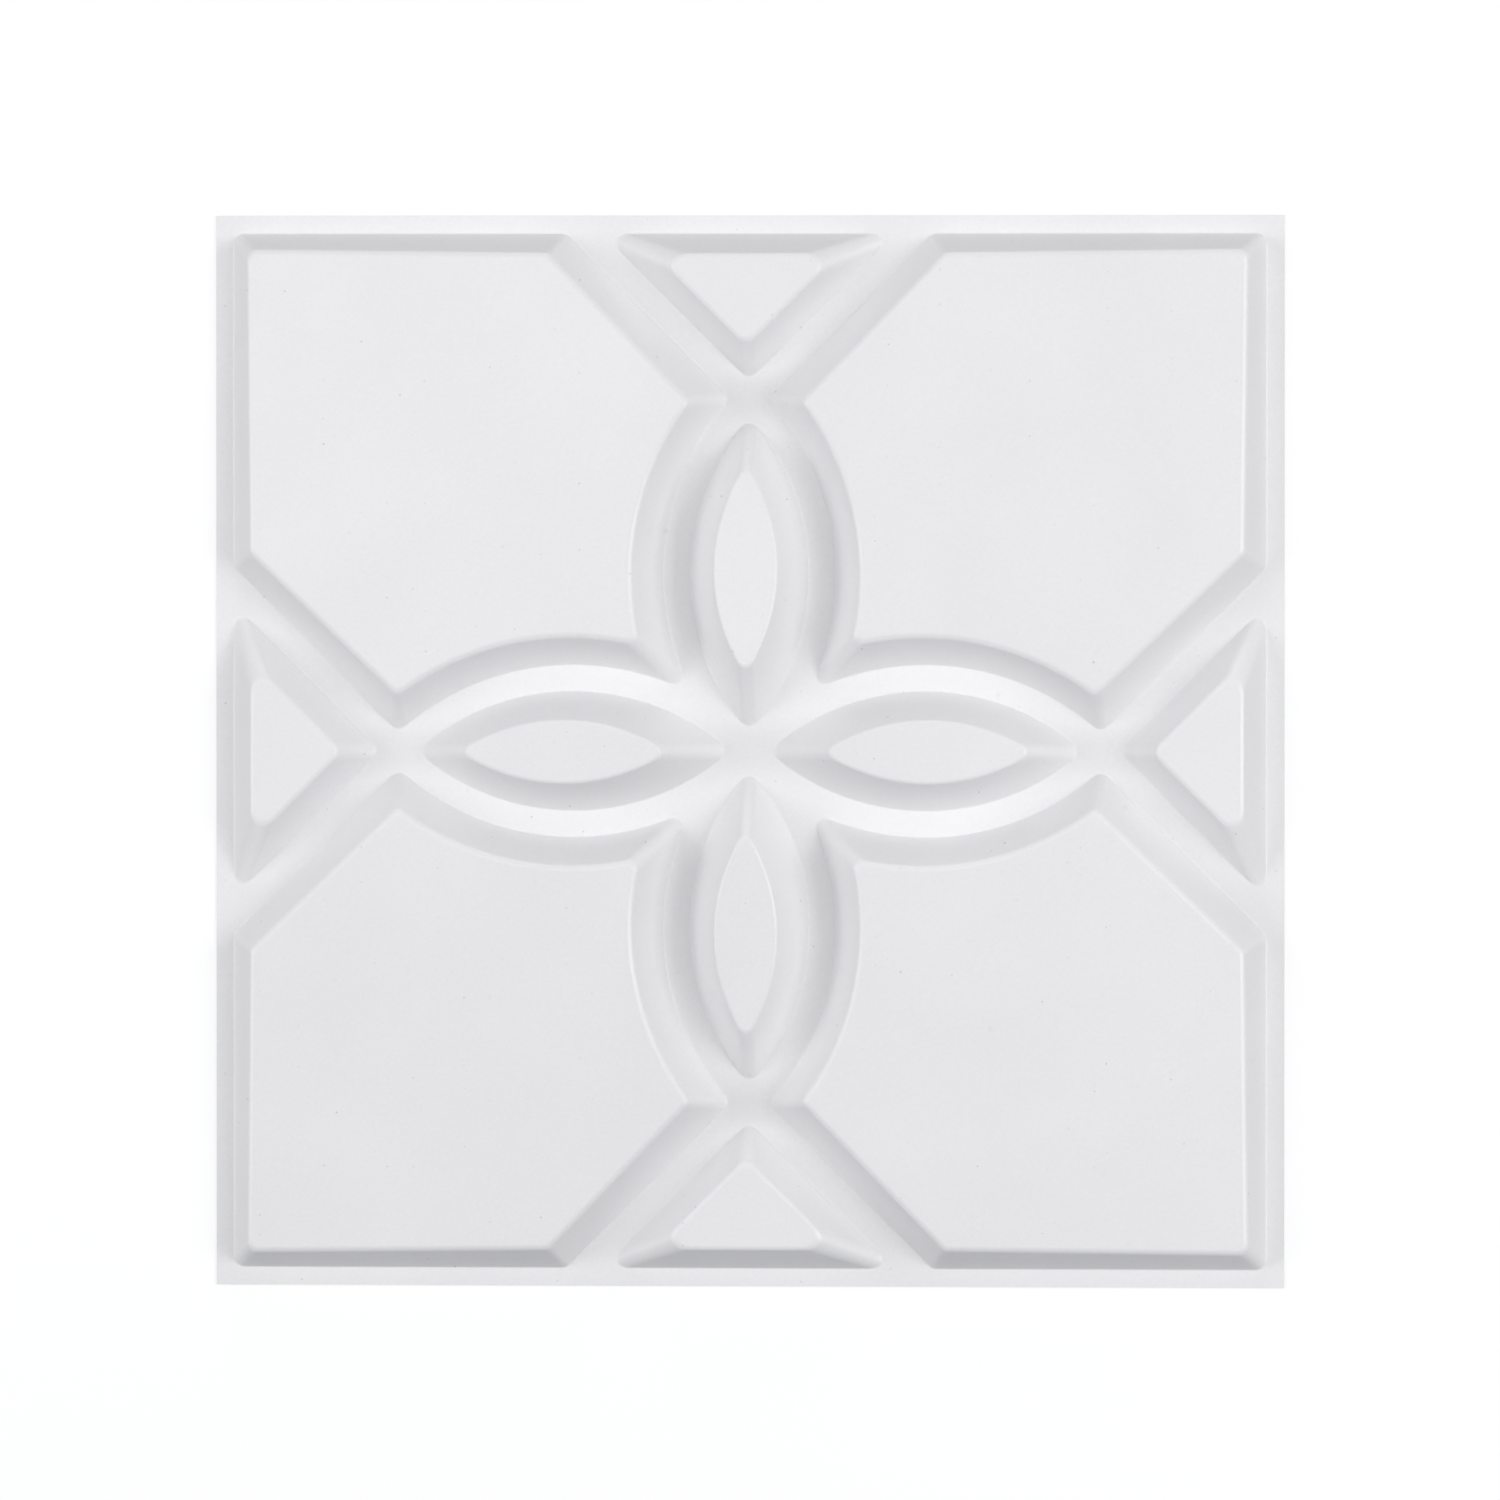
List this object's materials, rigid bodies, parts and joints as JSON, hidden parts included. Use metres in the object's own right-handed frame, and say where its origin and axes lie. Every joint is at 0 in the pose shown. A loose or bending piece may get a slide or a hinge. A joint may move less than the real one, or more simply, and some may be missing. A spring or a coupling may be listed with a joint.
{
  "type": "textured pvc wall panel",
  "caption": "Square vacuum-formed white PVC wall panel with raised corner fields, petals and edge triangles between flat lattice grooves and a flat border.",
  "frame": {"origin": "centre of the panel on the plane of its flat back", "axes": "+X and +Y along the panel's edges, right and up in the picture, +Z out of the decorated face"},
  "size_m": [0.5, 0.5, 0.0267],
  "materials": {
    "white_pvc": "matte white, as formed"
  },
  "bodies": {
    "root": {"wall_panel": "white_pvc"}
  },
  "joints": []
}
